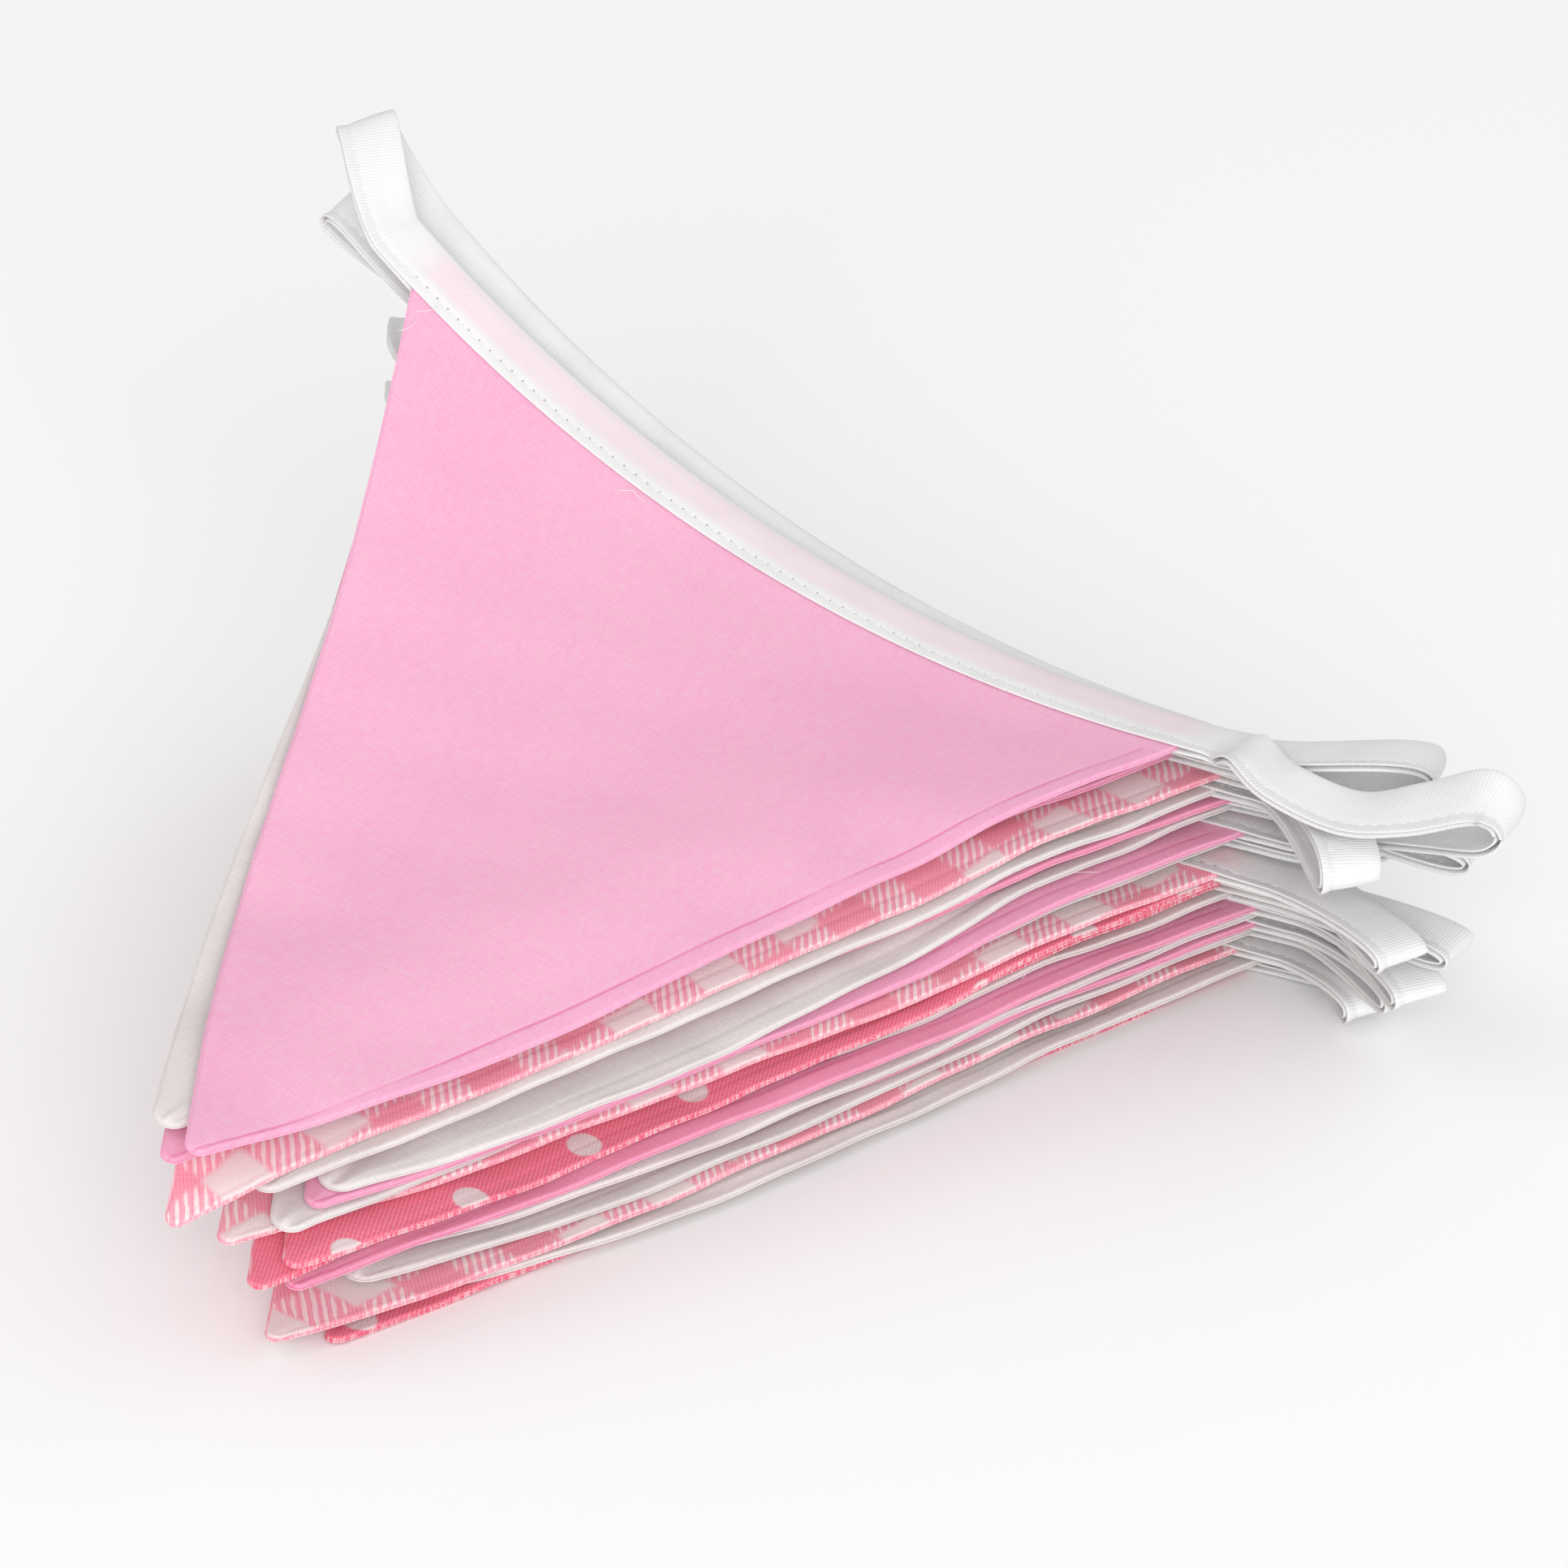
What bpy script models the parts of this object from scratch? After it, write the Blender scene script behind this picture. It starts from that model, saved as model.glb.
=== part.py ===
# Fabric bunting folded up for storage: twenty triangular pennants in four cloths on one
# white binding tape. The string is folded back and forth, one pennant over the next, so
# the tape loops out at both ends of the pile. The corner on the -X side of the upper
# pennants is curled up by the tape that is bunched beneath it.
# Metres, +Z up. +X runs along the tape, the pennants' tips point to -Y, and the lowest
# pennant lies on the surface z = 0.
from collections import namedtuple
from math import cos, exp, pi, radians, sin

import bmesh
import bpy
from mathutils import Vector

MM = 0.001

# The pennant: a triangle below the tape, and a tab that the tape takes in.
WIDTH = 0.180
DROP = 0.200
TAB = 0.0113
TIP_HALF_WIDTH = 0.0022
EDGE_BOW = 0.0025
BELLY_POWER = 2.0
CLOTH = 0.0010
COLUMNS = 6
ROWS = (0.0, 0.14, 0.28, 0.42, 0.56, 0.70, 0.84, 0.965, 1.0)

# The binding tape: two plies, folded along the far edge, gripping the tab between them.
TAPE_WIDTH = 0.012
PLY = 0.0004
CLEARANCE = 0.0003
SLIT_HALF = 0.0001
SLOT_HALF = CLOTH / 2 + CLEARANCE
TAPE_HALF = SLOT_HALF + PLY
SLOT_PAST_CORNER = 0.0015
TAPE_PAST_CORNER = 0.009

# The pile: the height of one layer at the tape, and at the tips.
PITCH_AT_TAPE = 0.0030
PITCH_AT_TIPS = 0.00245
BAND_FRONT = 0.075
TIP_LINE = -0.100

# The curl of the -X corner: its height on the top pennant, how steeply it grows away
# from the front edge, and how it fades down the pile.
CURL_HEIGHT = 0.0600
CURL_POWER = 2.1
CURL_FADE = 1.15

# The front edges hang a little, more so higher up the pile.
HANG = 0.0045
HANG_REACH = 0.025
HANG_FADE = 9.0
OVERHANG = 0.006
TIP_HANG_REACH = 0.045

# Ripples of the layers along the front edge.
RIPPLE = 0.00022
RIPPLE_LENGTH = 0.095

# One row for each pennant, from the top of the pile down. slide is along the front edge
# towards the tape, back is square to that edge, away from the viewer, turn is about the
# middle of the tape, and drop is the pennant's own length below the tape. gap widens the
# space under the front edge, tip is how far the tip hangs below its layer, and belly is
# how far the front edge bulges. All in millimetres, turn in degrees.
Pennant = namedtuple("Pennant", "cloth slide back turn drop gap tip belly")
PENNANTS = (
    Pennant("pink", -1, 0.0, 0.0, 196, 0.0, 0.0, 4.5),
    Pennant("white", 6, 5.5, -2.2, 200, -0.3, 0.0, 0.0),
    Pennant("pink", 4, 7.0, -0.4, 203, -0.3, 0.5, 0.0),
    Pennant("gingham", 12, 0.5, -2.0, 212, -0.2, 7.0, 3.5),
    Pennant("white", 8, -1.0, 0.2, 192, 0.2, 3.5, 3.5),
    Pennant("pink", 12, -1.0, 0.3, 186, 0.7, 2.0, 0.0),
    Pennant("white", 12, 0.0, 2.0, 184, 0.4, 2.0, 8.0),
    Pennant("pink", 12, -4.5, 0.4, 186, 0.0, 1.0, 3.5),
    Pennant("white", 11, -1.0, 0.8, 193, -0.2, 0.5, 0.0),
    Pennant("gingham", 8, -4.5, -2.0, 196, 0.0, 0.0, 3.0),
    Pennant("dotted", 11, -4.0, 0.9, 194, 0.0, 0.5, 3.5),
    Pennant("dotted", 9, -1.0, 0.8, 199, -0.2, 1.0, 0.0),
    Pennant("white", 12, -1.0, 0.8, 190, -0.3, 0.5, 0.0),
    Pennant("pink", 17, -3.5, -0.2, 197, 0.4, 1.5, 2.0),
    Pennant("white", 20, -2.0, 1.2, 184, 0.5, 0.0, 5.0),
    Pennant("pink", 18, -1.0, 1.2, 178, 0.0, 0.0, 4.0),
    Pennant("white", 19, 1.0, 1.7, 186, -0.2, 0.0, 6.0),
    Pennant("gingham", 16, 1.5, 1.0, 204, 0.0, 0.5, 5.0),
    Pennant("white", 21, -1.0, 1.9, 184, 0.0, 0.0, 8.5),
    Pennant("dotted", 19, 2.5, 2.8, 198, 0.0, 0.0, 2.0),
)

# One row for each loop of tape, from the top of the pile down: how far it reaches past
# the pennants, how far its end lies to the back, how far it rises, how wide it bellies,
# in millimetres, and how far it leans to the back, in degrees.
Loop = namedtuple("Loop", "reach side rise belly lean")
RIGHT_LOOPS = (
    Loop(39, 10, 2.5, 7, 0),
    Loop(29, -23, -1, 8, 0),
    Loop(37, 5, -3.5, 4.5, 0),
    Loop(15, 10, -0.7, 4, 0),
    Loop(33, -14, -1.5, 4, 0),
    Loop(39, -3, -1.2, 4, 0),
    Loop(31, -18, -1.2, 4, 0),
    Loop(28, -15, -0.5, 4, 0),
    Loop(20, -13, 0, 4, 0),
)
LEFT_LOOPS = (
    Loop(13, 9, 17, 6, -18),
    Loop(18, 1, 12, 4.5, -20),
    Loop(5, 8, 4, 5, 0),
    Loop(6, 8, 4, 5, 0),
    Loop(6, 8, 3, 5, 0),
    Loop(6, 8, 3, 5, 0),
    Loop(8, 6, 2, 5, 0),
    Loop(10, 1, 1, 4, 0),
    Loop(10, 0, 0, 4, 0),
    Loop(9, 1, 0, 3, 0),
)
LOOP_NECK = 0.35
LOOP_STEPS = (0.30, 0.55, 0.75, 0.90)

# The two free ends, as points from the end of the top and of the lowest tape: outwards,
# to the back and up, with the lean of the tape there.
TailPoint = namedtuple("TailPoint", "out back up lean")
TOP_TAIL = (
    TailPoint(5, -2.8, 1.5, 0),
    TailPoint(14, -7, -0.6, -10),
    TailPoint(28, -7, -3, -15),
    TailPoint(41, -6.5, 1, -30),
    TailPoint(53, -6, 6.5, -35),
    TailPoint(58.5, -6, 5.5, -20),
    TailPoint(60, -6, 2, -10),
    TailPoint(57, -6, -1.5, 0),
    TailPoint(45, -1, -6.4, 0),
    TailPoint(29, 3.5, -11.5, 0),
)
LOW_TAIL = (
    TailPoint(3, 0, 0, 0),
    TailPoint(6, 0, 0, 0),
)

COLOURS = {
    "pink": (0.90, 0.46, 0.62, 1.0),
    "white": (0.80, 0.80, 0.78, 1.0),
    "gingham": (0.90, 0.42, 0.50, 1.0),
    "dotted": (0.88, 0.26, 0.38, 1.0),
    "tape": (0.86, 0.86, 0.85, 1.0),
}
ROUGHNESS = 0.9

TOP_EDGE = DROP / 2
SIDE = Vector((WIDTH / 2, DROP))
FRONT_RUN = SIDE.normalized()
FRONT_OUT = Vector((-FRONT_RUN.y, FRONT_RUN.x))
FRONT_CORNER = Vector((WIDTH / 2, TOP_EDGE))
BREADTH = WIDTH * FRONT_RUN.y
LAYERS = len(PENNANTS)
UP = Vector((0.0, 0.0, 1.0))


def ease(value, low, high):
    share = min(max((value - low) / (high - low), 0.0), 1.0)
    return share * share * (3.0 - 2.0 * share)


def mix(first, second, share):
    return first + (second - first) * share


def on_pile(layer, along, across):
    """Where a point of a pennant lies in plan, before the corner curls up."""
    row = PENNANTS[LAYERS - 1 - layer]
    pivot = Vector((0.0, TOP_EDGE))
    turn = radians(row.turn)
    arm = Vector((along, across)) - pivot
    turned = Vector((arm.x * cos(turn) - arm.y * sin(turn), arm.x * sin(turn) + arm.y * cos(turn)))
    return pivot + turned + (FRONT_RUN * row.slide + FRONT_OUT * row.back) * MM


def layer_height(layer, place):
    """Height of a layer's middle before the corner curls up."""
    from_front = (place - FRONT_CORNER).dot(FRONT_OUT)
    along_front = (place - FRONT_CORNER).dot(FRONT_RUN)
    to_tips = ease(-place.y, -BAND_FRONT, -TIP_LINE)
    first = mix(CLOTH / 2, TAPE_HALF, ease(place.y, 0.088, 0.106))
    height = first + layer * mix(PITCH_AT_TAPE, PITCH_AT_TIPS, to_tips)
    near_front = ease(-from_front, -0.06, -0.01) * ease(-place.y, -BAND_FRONT, -0.02)
    for below in range(1, layer + 1):
        row = PENNANTS[LAYERS - 1 - below]
        ripple = RIPPLE * sin(2 * pi * along_front / RIPPLE_LENGTH + 2.4 * below)
        height += (row.gap * MM + ripple) * near_front
    hang = HANG * (1.0 - exp(-layer / HANG_FADE))
    reach = max(0.0, 1.0 - max(from_front, -OVERHANG) / HANG_REACH)
    return height - hang * reach ** 1.6 * ease(-place.y, -BAND_FRONT, -0.04)


def cloth_point(layer, along, across):
    """A point of a layer's middle surface in the pile."""
    place = on_pile(layer, along, across)
    height = layer_height(layer, place)
    row = PENNANTS[LAYERS - 1 - layer]
    to_tip = max(0.0, 1.0 - (across - (TOP_EDGE - row.drop * MM)) / TIP_HANG_REACH)
    height -= row.tip * MM * to_tip ** 2
    share = max((place - FRONT_CORNER).dot(FRONT_OUT), 0.0) / BREADTH
    curl = CURL_HEIGHT * (layer / (LAYERS - 1)) ** CURL_FADE
    height += curl * share ** CURL_POWER
    steep = 2 * CURL_POWER - 1
    drawn_in = (CURL_POWER * curl) ** 2 / (2 * BREADTH * steep) * share ** steep
    place = place - FRONT_OUT * drawn_in
    return Vector((place.x, place.y, height))


def tape_frame(layer, along):
    """Middle of the tape on a layer, with its unit length and width directions."""
    middle = TOP_EDGE + TAPE_WIDTH / 2
    small = 0.001
    centre = cloth_point(layer, along, middle)
    length = cloth_point(layer, along + small, middle) - cloth_point(layer, along - small, middle)
    width = cloth_point(layer, along, middle + small) - cloth_point(layer, along, middle - small)
    length.normalize()
    width = (width - length * width.dot(length)).normalized()
    return centre, length, width


def material(name):
    made = bpy.data.materials.get(name)
    if made is None:
        made = bpy.data.materials.new(name)
        made.use_nodes = True
        shader = made.node_tree.nodes["Principled BSDF"]
        shader.inputs["Base Color"].default_value = COLOURS[name]
        shader.inputs["Roughness"].default_value = ROUGHNESS
        shader.inputs["Metallic"].default_value = 0.0
    return made


def add_object(name, mesh, cloth, collection):
    thing = bpy.data.objects.new(name, mesh)
    mesh.materials.append(material(cloth))
    collection.objects.link(thing)
    return thing


def pennant(layer, collection):
    """One pennant: its triangle and tab as a curved sheet, given its thickness."""
    row = PENNANTS[LAYERS - 1 - layer]
    mesh = bpy.data.meshes.new(row.cloth)
    shape = bmesh.new()
    steps = [column / COLUMNS * 2.0 - 1.0 for column in range(COLUMNS + 1)]
    rows = []
    tab_row = []
    for step in steps:
        centre, length, width = tape_frame(layer, step * WIDTH / 2)
        tab_row.append(shape.verts.new(centre + width * (TAB - TAPE_WIDTH / 2)))
    rows.append(tab_row)
    edge_row = []
    for step in steps:
        centre, length, width = tape_frame(layer, step * WIDTH / 2)
        edge_row.append(shape.verts.new(centre - width * TAPE_WIDTH / 2))
    rows.append(edge_row)
    for share in ROWS[1:]:
        half = max(WIDTH / 2 * (1.0 - share), TIP_HALF_WIDTH)
        across = TOP_EDGE - row.drop * MM * share
        bow = EDGE_BOW * sin(2 * pi * share)
        belly = row.belly * MM * sin(pi * share ** BELLY_POWER)
        shifts = [bow * (1.0 - step) / 2 + belly * (1.0 + step) / 2 for step in steps]
        alongs = [step * half + shift for step, shift in zip(steps, shifts)]
        rows.append([shape.verts.new(cloth_point(layer, along, across)) for along in alongs])
    for upper, lower in zip(rows, rows[1:]):
        for column in range(COLUMNS):
            corners = (upper[column], lower[column], lower[column + 1], upper[column + 1])
            shape.faces.new(corners)
    shape.to_mesh(mesh)
    shape.free()
    number = LAYERS - layer
    thing = add_object(f"pennant_{number:02d}_{row.cloth}", mesh, row.cloth, collection)
    thickness = thing.modifiers.new("thickness", "SOLIDIFY")
    thickness.thickness = CLOTH
    thickness.offset = 0.0
    return thing


def bezier(points, share):
    rest = 1.0 - share
    weights = (rest ** 3, 3 * rest ** 2 * share, 3 * rest * share ** 2, share ** 3)
    total = Vector()
    for weight, point in zip(weights, points):
        total += point * weight
    return total


def to_the_back(heading):
    """The level direction square to a heading, on the side away from the tips."""
    square = UP.cross(heading).normalized()
    return square if square.y > 0 else -square


def loop_stations(start, finish, row):
    """The tape's turn between two layers: its middle and width direction at each step."""
    start_at, start_out, start_width = start
    finish_at, finish_out, finish_width = finish
    out = Vector((start_out.x, start_out.y, 0.0)).normalized()
    to_back = to_the_back(out)
    middle = (start_at + finish_at) / 2
    end = middle + (out * row.reach + to_back * row.side + UP * row.rise) * MM
    heading = (end - middle).normalized()
    to_back = to_the_back(heading)
    upright = heading.cross(to_back)
    if upright.z < 0:
        upright = -upright
    lean = radians(row.lean)
    turn_up = upright * cos(lean) + to_back * sin(lean)
    turn_width = to_back * cos(lean) - upright * sin(lean)
    neck = row.reach * MM * LOOP_NECK
    first = (start_at, start_at + start_out * neck, end + turn_up * row.belly * MM, end)
    second = (finish_at, finish_at + finish_out * neck, end - turn_up * row.belly * MM, end)
    stations = []
    for share in LOOP_STEPS:
        width = start_width.lerp(turn_width, ease(share, 0.0, 1.0))
        stations.append((bezier(first, share), width, SLIT_HALF))
    stations.append((end, turn_width, SLIT_HALF))
    for share in reversed(LOOP_STEPS):
        width = finish_width.lerp(turn_width, ease(share, 0.0, 1.0))
        stations.append((bezier(second, share), width, SLIT_HALF))
    return stations


def tail_stations(corner, points):
    """The tape from its end on a layer out to its free end."""
    at, out, width = corner
    level = Vector((out.x, out.y, 0.0)).normalized()
    to_back = to_the_back(level)
    stations = []
    for point in points:
        lean = radians(point.lean)
        place = at + (level * point.out + to_back * point.back + UP * point.up) * MM
        stations.append((place, to_back * cos(lean) - UP * sin(lean), SLIT_HALF))
    return stations


def corner(layer, side):
    """The end of the straight tape past a pennant's corner: middle, way out and width."""
    centre, length, width = tape_frame(layer, side * (WIDTH / 2 + TAPE_PAST_CORNER))
    return centre, length * side, width


def layer_stations(layer, direction):
    """The tape along one pennant, in the direction of travel."""
    slot_end = WIDTH / 2 + SLOT_PAST_CORNER
    inner = [column / COLUMNS * WIDTH - WIDTH / 2 for column in range(1, COLUMNS)]
    alongs = [-slot_end] + inner + [slot_end]
    stations = []
    for along in alongs:
        centre, length, width = tape_frame(layer, along)
        stations.append((centre, width, SLOT_HALF))
    for side in (-1, 1):
        centre, length, width = corner(layer, side)
        stations.insert(0 if side < 0 else len(stations), (centre, width, SLIT_HALF))
    return stations if direction > 0 else stations[::-1]


def tape_ring(shape, centre, width, normal, slot_half):
    """The folded tape's outline: open edge at the pennant, fold at the far edge."""
    half = TAPE_WIDTH / 2
    outer = slot_half + PLY
    fold = half - PLY
    outline = (
        (-half, outer),
        (half, outer),
        (half, -outer),
        (-half, -outer),
        (-half, -slot_half),
        (fold, -slot_half),
        (fold, slot_half),
        (-half, slot_half),
    )
    return [shape.verts.new(centre + width * a + normal * b) for a, b in outline]


def binding_tape(collection):
    """The whole tape as one piece, from the top free end down to the lowest one."""
    stations = tail_stations(corner(LAYERS - 1, 1), TOP_TAIL)[::-1]
    for step, layer in enumerate(reversed(range(LAYERS))):
        direction = -1 if step % 2 == 0 else 1
        stations += layer_stations(layer, direction)
        if layer > 0:
            rows = RIGHT_LOOPS if direction > 0 else LEFT_LOOPS
            ends = corner(layer, direction), corner(layer - 1, direction)
            stations += loop_stations(*ends, rows[step // 2])
    stations += tail_stations(corner(0, 1), LOW_TAIL)
    shape = bmesh.new()
    rings = []
    last = len(stations) - 1
    for index, (centre, width, slot_half) in enumerate(stations):
        before = stations[max(index - 1, 0)][0]
        after = stations[min(index + 1, last)][0]
        travel = tangent(before, centre, after)
        across = (width - travel * width.dot(travel)).normalized()
        rings.append(tape_ring(shape, centre, across, travel.cross(across), slot_half))
    for first, second in zip(rings, rings[1:]):
        for point in range(8):
            following = (point + 1) % 8
            shape.faces.new((first[point], first[following], second[following], second[point]))
    for ring in (rings[0], rings[-1]):
        for a, b, c, d in ((0, 1, 6, 7), (1, 2, 5, 6), (2, 3, 4, 5)):
            shape.faces.new((ring[a], ring[b], ring[c], ring[d]))
    bmesh.ops.recalc_face_normals(shape, faces=shape.faces)
    mesh = bpy.data.meshes.new("tape")
    shape.to_mesh(mesh)
    shape.free()
    return add_object("binding_tape", mesh, "tape", collection)


def tangent(before, centre, after):
    """The way the tape runs through a point, from the points on either side."""
    into = centre - before
    away = after - centre
    if into.length == 0.0:
        return away.normalized()
    if away.length == 0.0:
        return into.normalized()
    return (into.normalized() / into.length + away.normalized() / away.length).normalized()


def main():
    for thing in list(bpy.data.objects):
        bpy.data.objects.remove(thing, do_unlink=True)
    collection = bpy.data.collections.new("fabric_bunting")
    bpy.context.scene.collection.children.link(collection)
    for layer in range(LAYERS):
        pennant(layer, collection)
    binding_tape(collection)


main()
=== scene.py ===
from collections import namedtuple
from math import cos, hypot, pi, radians, sin

import bpy
import numpy as np
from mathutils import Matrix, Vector


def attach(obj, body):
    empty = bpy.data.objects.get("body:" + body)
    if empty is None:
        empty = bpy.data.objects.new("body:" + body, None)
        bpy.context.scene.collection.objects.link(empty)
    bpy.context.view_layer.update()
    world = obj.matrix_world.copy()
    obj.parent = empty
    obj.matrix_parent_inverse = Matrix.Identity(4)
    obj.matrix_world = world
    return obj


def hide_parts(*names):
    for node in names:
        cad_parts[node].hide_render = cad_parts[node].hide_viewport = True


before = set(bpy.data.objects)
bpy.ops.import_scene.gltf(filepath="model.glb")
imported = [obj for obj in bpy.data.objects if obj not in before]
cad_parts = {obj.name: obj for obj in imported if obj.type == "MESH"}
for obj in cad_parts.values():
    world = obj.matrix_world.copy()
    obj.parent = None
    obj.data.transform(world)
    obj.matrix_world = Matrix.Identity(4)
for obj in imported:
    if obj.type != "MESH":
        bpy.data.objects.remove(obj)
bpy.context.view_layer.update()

mm = 0.001
scene = bpy.context.scene

# the pile as it is folded, in metres
pile = {
    "width": 0.180,
    "drop": 0.200,
    "tab": 0.0113,  # the strip that the tape takes in
    "edgeBow": 0.0025,
    "bellyPower": 2.0,
    "cloth": 0.0010,
    "tapeWidth": 0.012,
    "tapeHalf": 0.0012,
    "riseFrom": 0.088,  # here the cloth rises to the middle of its tape
    "riseTo": 0.106,
    "pitchAtTape": 0.0030,
    "pitchAtTips": 0.00245,
    "bandFront": 0.075,
    "tipLine": -0.100,
    "curlHeight": 0.0600,
    "curlPower": 2.1,
    "curlFade": 1.15,
    "hang": 0.0045,
    "hangPower": 1.6,
    "hangFrom": 0.04,
    "hangReach": 0.025,
    "hangFade": 9.0,
    "overhang": 0.006,
    "tipHangReach": 0.045,
    "ripple": 0.00022,
    "rippleTurn": 2.4,
    "rippleFrom": 0.02,
    "rippleReach": 0.06,
    "rippleFull": 0.01,
    "rippleLength": 0.095,
}

# from the top down: cloth, slide, back, turn, drop, gap, tip, belly (mm, degrees for turn)
flagRow = namedtuple("flagRow", "cloth slide back turn drop gap tip belly")
flagRows = [
    flagRow("pink", -1, 0.0, 0.0, 196, 0.0, 0.0, 4.5),
    flagRow("white", 6, 5.5, -2.2, 200, -0.3, 0.0, 0.0),
    flagRow("pink", 4, 7.0, -0.4, 203, -0.3, 0.5, 0.0),
    flagRow("gingham", 12, 0.5, -2.0, 212, -0.2, 7.0, 3.5),
    flagRow("white", 8, -1.0, 0.2, 192, 0.2, 3.5, 3.5),
    flagRow("pink", 12, -1.0, 0.3, 186, 0.7, 2.0, 0.0),
    flagRow("white", 12, 0.0, 2.0, 184, 0.4, 2.0, 8.0),
    flagRow("pink", 12, -4.5, 0.4, 186, 0.0, 1.0, 3.5),
    flagRow("white", 11, -1.0, 0.8, 193, -0.2, 0.5, 0.0),
    flagRow("gingham", 8, -4.5, -2.0, 196, 0.0, 0.0, 3.0),
    flagRow("dotted", 11, -4.0, 0.9, 194, 0.0, 0.5, 3.5),
    flagRow("dotted", 9, -1.0, 0.8, 199, -0.2, 1.0, 0.0),
    flagRow("white", 12, -1.0, 0.8, 190, -0.3, 0.5, 0.0),
    flagRow("pink", 17, -3.5, -0.2, 197, 0.4, 1.5, 2.0),
    flagRow("white", 20, -2.0, 1.2, 184, 0.5, 0.0, 5.0),
    flagRow("pink", 18, -1.0, 1.2, 178, 0.0, 0.0, 4.0),
    flagRow("white", 19, 1.0, 1.7, 186, -0.2, 0.0, 6.0),
    flagRow("gingham", 16, 1.5, 1.0, 204, 0.0, 0.5, 5.0),
    flagRow("white", 21, -1.0, 1.9, 184, 0.0, 0.0, 8.5),
    flagRow("dotted", 19, 2.5, 2.8, 198, 0.0, 0.0, 2.0),
]
layers = len(flagRows)
topEdge = pile["drop"] / 2
sideLength = hypot(pile["width"] / 2, pile["drop"])
frontRun = np.array([pile["width"] / 2, pile["drop"]]) / sideLength
frontOut = np.array([-frontRun[1], frontRun[0]])
frontCorner = np.array([pile["width"] / 2, topEdge])
breadth = pile["width"] * frontRun[1]


def ease(value, low, high):
    share = np.clip((value - low) / (high - low), 0.0, 1.0)
    return share * share * (3.0 - 2.0 * share)


def unit(vectors):
    return vectors / np.linalg.norm(vectors, axis=-1, keepdims=True)


def behindFront(x, y):
    return (x - frontCorner[0]) * frontOut[0] + (y - frontCorner[1]) * frontOut[1]


def layerHeight(layer, x, y):
    fromFront = behindFront(x, y)
    alongFront = (x - frontCorner[0]) * frontRun[0] + (y - frontCorner[1]) * frontRun[1]
    toTips = ease(-y, -pile["bandFront"], -pile["tipLine"])
    lift = ease(y, pile["riseFrom"], pile["riseTo"])
    first = pile["cloth"] / 2 * (1 - lift) + pile["tapeHalf"] * lift
    pitch = pile["pitchAtTape"] * (1 - toTips) + pile["pitchAtTips"] * toTips
    height = first + layer * pitch
    nearFront = ease(-fromFront, -pile["rippleReach"], -pile["rippleFull"])
    nearFront = nearFront * ease(-y, -pile["bandFront"], -pile["rippleFrom"])
    for below in range(1, layer + 1):
        gap = flagRows[layers - 1 - below].gap * mm
        turned = 2 * pi * alongFront / pile["rippleLength"] + pile["rippleTurn"] * below
        wave = pile["ripple"] * np.sin(turned)
        height = height + (gap + wave) * nearFront
    hang = pile["hang"] * (1.0 - np.exp(-layer / pile["hangFade"]))
    reach = np.maximum(0.0, 1.0 - np.maximum(fromFront, -pile["overhang"]) / pile["hangReach"])
    return height - hang * reach ** pile["hangPower"] * ease(-y, -pile["bandFront"], -pile["hangFrom"])


def clothPoint(layer, along, across):
    row = flagRows[layers - 1 - layer]
    along, across = np.broadcast_arrays(np.asarray(along, float), np.asarray(across, float))
    turned = radians(row.turn)
    shift = (frontRun * row.slide + frontOut * row.back) * mm
    x = along * cos(turned) - (across - topEdge) * sin(turned) + shift[0]
    y = topEdge + along * sin(turned) + (across - topEdge) * cos(turned) + shift[1]
    height = layerHeight(layer, x, y)
    toTip = np.maximum(0.0, 1.0 - (across - (topEdge - row.drop * mm)) / pile["tipHangReach"])
    height = height - row.tip * mm * toTip**2
    fromFront = behindFront(x, y)
    share = np.maximum(fromFront, 0.0) / breadth
    curl = pile["curlHeight"] * (layer / (layers - 1)) ** pile["curlFade"]
    height = height + curl * share ** pile["curlPower"]
    steep = 2 * pile["curlPower"] - 1
    drawnIn = (pile["curlPower"] * curl) ** 2 / (2 * breadth * steep) * share**steep
    return np.stack((x - frontOut[0] * drawnIn, y - frontOut[1] * drawnIn, height), axis=-1)


def clothNormal(layer, along, across):
    small = 0.5 * mm
    runs = clothPoint(layer, along + small, across) - clothPoint(layer, along - small, across)
    falls = clothPoint(layer, along, across + small) - clothPoint(layer, along, across - small)
    return unit(np.cross(runs, falls))


def meshPiece(name, points, faces, material):
    mesh = bpy.data.meshes.new(name)
    mesh.from_pydata([tuple(p) for p in points], [], [tuple(f) for f in faces])
    mesh.materials.append(material)
    mesh.shade_smooth()
    piece = bpy.data.objects.new(name, mesh)
    scene.collection.objects.link(piece)
    return piece


def pointValues(mesh, name, values):
    kind = "FLOAT" if np.ndim(values) == 1 else "FLOAT_COLOR"
    layer = mesh.attributes.new(name, kind, "POINT")
    key = "value" if kind == "FLOAT" else "color"
    layer.data.foreach_set(key, np.asarray(values, dtype=np.float32).ravel())


def flatCoordinates(mesh, pairs):
    corners = np.empty(len(mesh.loops), dtype=np.int32)
    mesh.loops.foreach_get("vertex_index", corners)
    layer = mesh.uv_layers.new(name="cloth")
    layer.data.foreach_set("uv", np.asarray(pairs, dtype=np.float32)[corners].ravel())


# materials: small helpers, then one maker for each cloth

def newMaterial(name, roughness):
    made = bpy.data.materials.new(name)
    made.use_nodes = True
    tree = made.node_tree
    shader = tree.nodes["Principled BSDF"]
    shader.inputs["Roughness"].default_value = roughness
    shader.inputs["Specular IOR Level"].default_value = 0.25
    return made, tree, shader


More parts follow.
